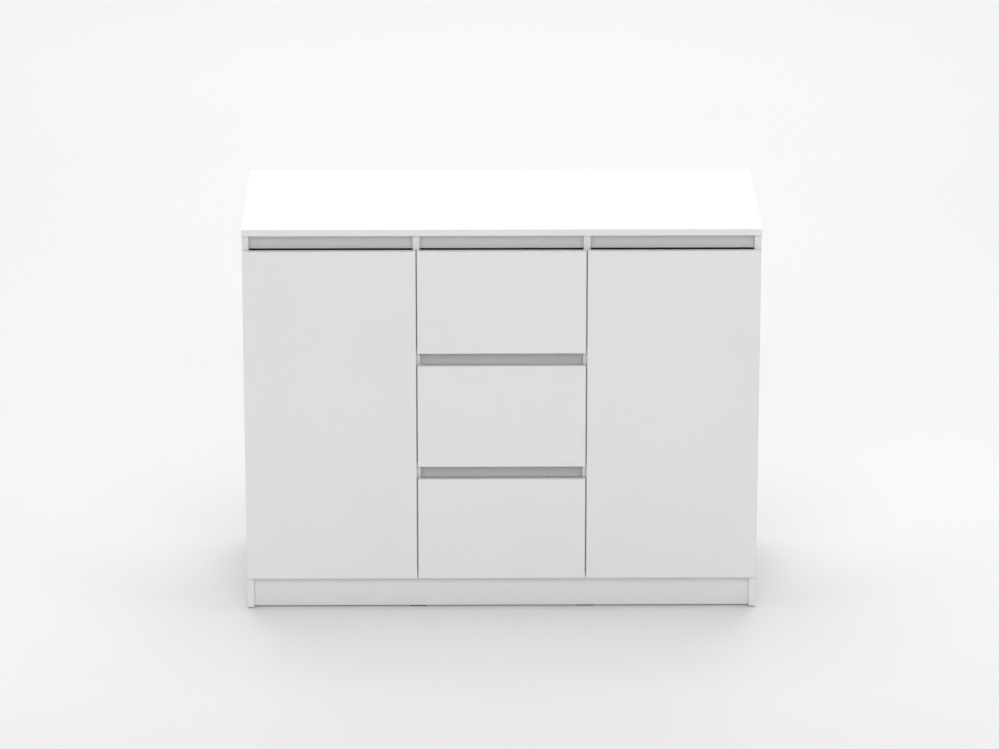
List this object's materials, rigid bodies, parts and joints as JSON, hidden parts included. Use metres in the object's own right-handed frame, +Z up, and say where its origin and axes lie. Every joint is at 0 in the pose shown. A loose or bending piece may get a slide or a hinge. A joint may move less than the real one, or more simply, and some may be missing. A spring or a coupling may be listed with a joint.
{
  "type": "sideboard",
  "caption": "Low laminated-board cabinet with hinged doors either side of a column of drawers, opened by finger gaps above recessed rails, on a plinth.",
  "frame": {"origin": "centre of the footprint, on the floor", "axes": "+X to the right seen from the front, the fronts face -Y, +Z up"},
  "size_m": [1.2, 0.5, 0.938],
  "materials": {
    "melamine_board": "white melamine-faced chipboard, satin, fine grained",
    "hardboard": "hardboard, white lacquer on the face that shows inside, bare brown fibre behind",
    "clear_rubber": "translucent soft polyurethane",
    "nylon": "natural white nylon",
    "dark_plastic": "black moulded plastic",
    "beech": "bare beech",
    "zinc_alloy": "die-cast zinc",
    "runner_steel": "white epoxy coat",
    "plated_steel": "bright zinc or nickel plate"
  },
  "bodies": {
    "carcass": {"back_panel": "hardboard", "back_panel_nails": "plated_steel", "bottom_panel": "melamine_board", "cabinet_runners": "runner_steel", "cam_bolts": "plated_steel", "cam_locks": "zinc_alloy", "confirmat_screws": "plated_steel", "dowels": "beech", "drawer_rails": "melamine_board", "front_bumpers": "clear_rubber", "glides": "dark_plastic", "hinge_arms": "plated_steel", "hinge_plates": "plated_steel", "left_partition": "melamine_board", "left_shelves": "melamine_board", "left_side_panel": "melamine_board", "plinth_board": "melamine_board", "rear_plinth_board": "melamine_board", "right_partition": "melamine_board", "right_shelves": "melamine_board", "right_side_panel": "melamine_board", "shelf_pins": "plated_steel", "top_panel": "melamine_board", "top_rails": "melamine_board", "wood_screws": "plated_steel"},
    "left_hinge_inner": {"left_inner_links": "plated_steel"},
    "left_hinge_outer": {"left_outer_links": "plated_steel"},
    "left_door_leaf": {"left_door": "melamine_board", "left_hinge_cups": "plated_steel", "left_cup_screws": "plated_steel"},
    "right_hinge_inner": {"right_inner_links": "plated_steel"},
    "right_hinge_outer": {"right_outer_links": "plated_steel"},
    "right_door_leaf": {"right_door": "melamine_board", "right_hinge_cups": "plated_steel", "right_cup_screws": "plated_steel"},
    "drawer_1": {"drawer_1_front": "melamine_board", "drawer_1_sides": "melamine_board", "drawer_1_back": "melamine_board", "drawer_1_bottom": "hardboard", "drawer_1_fasteners": "plated_steel", "drawer_1_runners": "runner_steel"},
    "drawer_1_front_rolls": {"drawer_1_front_rollers": "nylon"},
    "drawer_1_rear_rolls": {"drawer_1_rear_rollers": "nylon"},
    "drawer_2": {"drawer_2_front": "melamine_board", "drawer_2_sides": "melamine_board", "drawer_2_back": "melamine_board", "drawer_2_bottom": "hardboard", "drawer_2_fasteners": "plated_steel", "drawer_2_runners": "runner_steel"},
    "drawer_2_front_rolls": {"drawer_2_front_rollers": "nylon"},
    "drawer_2_rear_rolls": {"drawer_2_rear_rollers": "nylon"},
    "drawer_3": {"drawer_3_front": "melamine_board", "drawer_3_sides": "melamine_board", "drawer_3_back": "melamine_board", "drawer_3_bottom": "hardboard", "drawer_3_fasteners": "plated_steel", "drawer_3_runners": "runner_steel"},
    "drawer_3_front_rolls": {"drawer_3_front_rollers": "nylon"},
    "drawer_3_rear_rolls": {"drawer_3_rear_rollers": "nylon"}
  },
  "joints": [
    {"name": "left_inner_link_pivot", "type": "hinge", "parent": "carcass", "child": "left_hinge_inner", "pos_m": [-0.5737, -0.229, 0.4825], "axis": [0, 0, -1], "range_deg": [-47.8, 0]},
    {"name": "left_outer_link_pivot", "type": "hinge", "parent": "carcass", "child": "left_hinge_outer", "pos_m": [-0.558, -0.229, 0.4825], "axis": [0, 0, -1], "range_deg": [-31.1, 0]},
    {"name": "left_door_hinge", "type": "hinge", "parent": "left_hinge_inner", "child": "left_door_leaf", "pos_m": [-0.5885, -0.2375, 0.4825], "axis": [0, 0, -1], "range_deg": [0, 137.7]},
    {"name": "right_inner_link_pivot", "type": "hinge", "parent": "carcass", "child": "right_hinge_inner", "pos_m": [0.5737, -0.229, 0.4825], "axis": [0, 0, 1], "range_deg": [-47.8, 0]},
    {"name": "right_outer_link_pivot", "type": "hinge", "parent": "carcass", "child": "right_hinge_outer", "pos_m": [0.558, -0.229, 0.4825], "axis": [0, 0, 1], "range_deg": [-31.1, 0]},
    {"name": "right_door_hinge", "type": "hinge", "parent": "right_hinge_inner", "child": "right_door_leaf", "pos_m": [0.5885, -0.2375, 0.4825], "axis": [0, 0, 1], "range_deg": [0, 137.7]},
    {"name": "drawer_1_slide", "type": "slide", "parent": "carcass", "child": "drawer_1", "axis": [0, -1, 0], "range_m": [0, 0.335]},
    {"name": "drawer_1_front_roll", "type": "hinge", "parent": "carcass", "child": "drawer_1_front_rolls", "pos_m": [0, -0.22, 0.667], "axis": [1, 0, 0], "continuous": true},
    {"name": "drawer_1_rear_roll", "type": "hinge", "parent": "drawer_1", "child": "drawer_1_rear_rolls", "pos_m": [0, 0.206, 0.6642], "axis": [1, 0, 0], "continuous": true},
    {"name": "drawer_2_slide", "type": "slide", "parent": "carcass", "child": "drawer_2", "axis": [0, -1, 0], "range_m": [0, 0.335]},
    {"name": "drawer_2_front_roll", "type": "hinge", "parent": "carcass", "child": "drawer_2_front_rolls", "pos_m": [0, -0.22, 0.389], "axis": [1, 0, 0], "continuous": true},
    {"name": "drawer_2_rear_roll", "type": "hinge", "parent": "drawer_2", "child": "drawer_2_rear_rolls", "pos_m": [0, 0.206, 0.3862], "axis": [1, 0, 0], "continuous": true},
    {"name": "drawer_3_slide", "type": "slide", "parent": "carcass", "child": "drawer_3", "axis": [0, -1, 0], "range_m": [0, 0.335]},
    {"name": "drawer_3_front_roll", "type": "hinge", "parent": "carcass", "child": "drawer_3_front_rolls", "pos_m": [0, -0.22, 0.111], "axis": [1, 0, 0], "continuous": true},
    {"name": "drawer_3_rear_roll", "type": "hinge", "parent": "drawer_3", "child": "drawer_3_rear_rolls", "pos_m": [0, 0.206, 0.1082], "axis": [1, 0, 0], "continuous": true}
  ],
  "couplings": [
    {"joint": "left_inner_link_pivot", "follows": "left_door_hinge", "ratio": -0.34641},
    {"joint": "left_outer_link_pivot", "follows": "left_door_hinge", "ratio": -0.22513},
    {"joint": "right_inner_link_pivot", "follows": "right_door_hinge", "ratio": -0.34641},
    {"joint": "right_outer_link_pivot", "follows": "right_door_hinge", "ratio": -0.22513},
    {"joint": "drawer_1_front_roll", "follows": "drawer_1_slide", "rad_per_m": 125.79},
    {"joint": "drawer_1_rear_roll", "follows": "drawer_1_slide", "rad_per_m": 125.79},
    {"joint": "drawer_2_front_roll", "follows": "drawer_2_slide", "rad_per_m": 125.79},
    {"joint": "drawer_2_rear_roll", "follows": "drawer_2_slide", "rad_per_m": 125.79},
    {"joint": "drawer_3_front_roll", "follows": "drawer_3_slide", "rad_per_m": 125.79},
    {"joint": "drawer_3_rear_roll", "follows": "drawer_3_slide", "rad_per_m": 125.79}
  ]
}
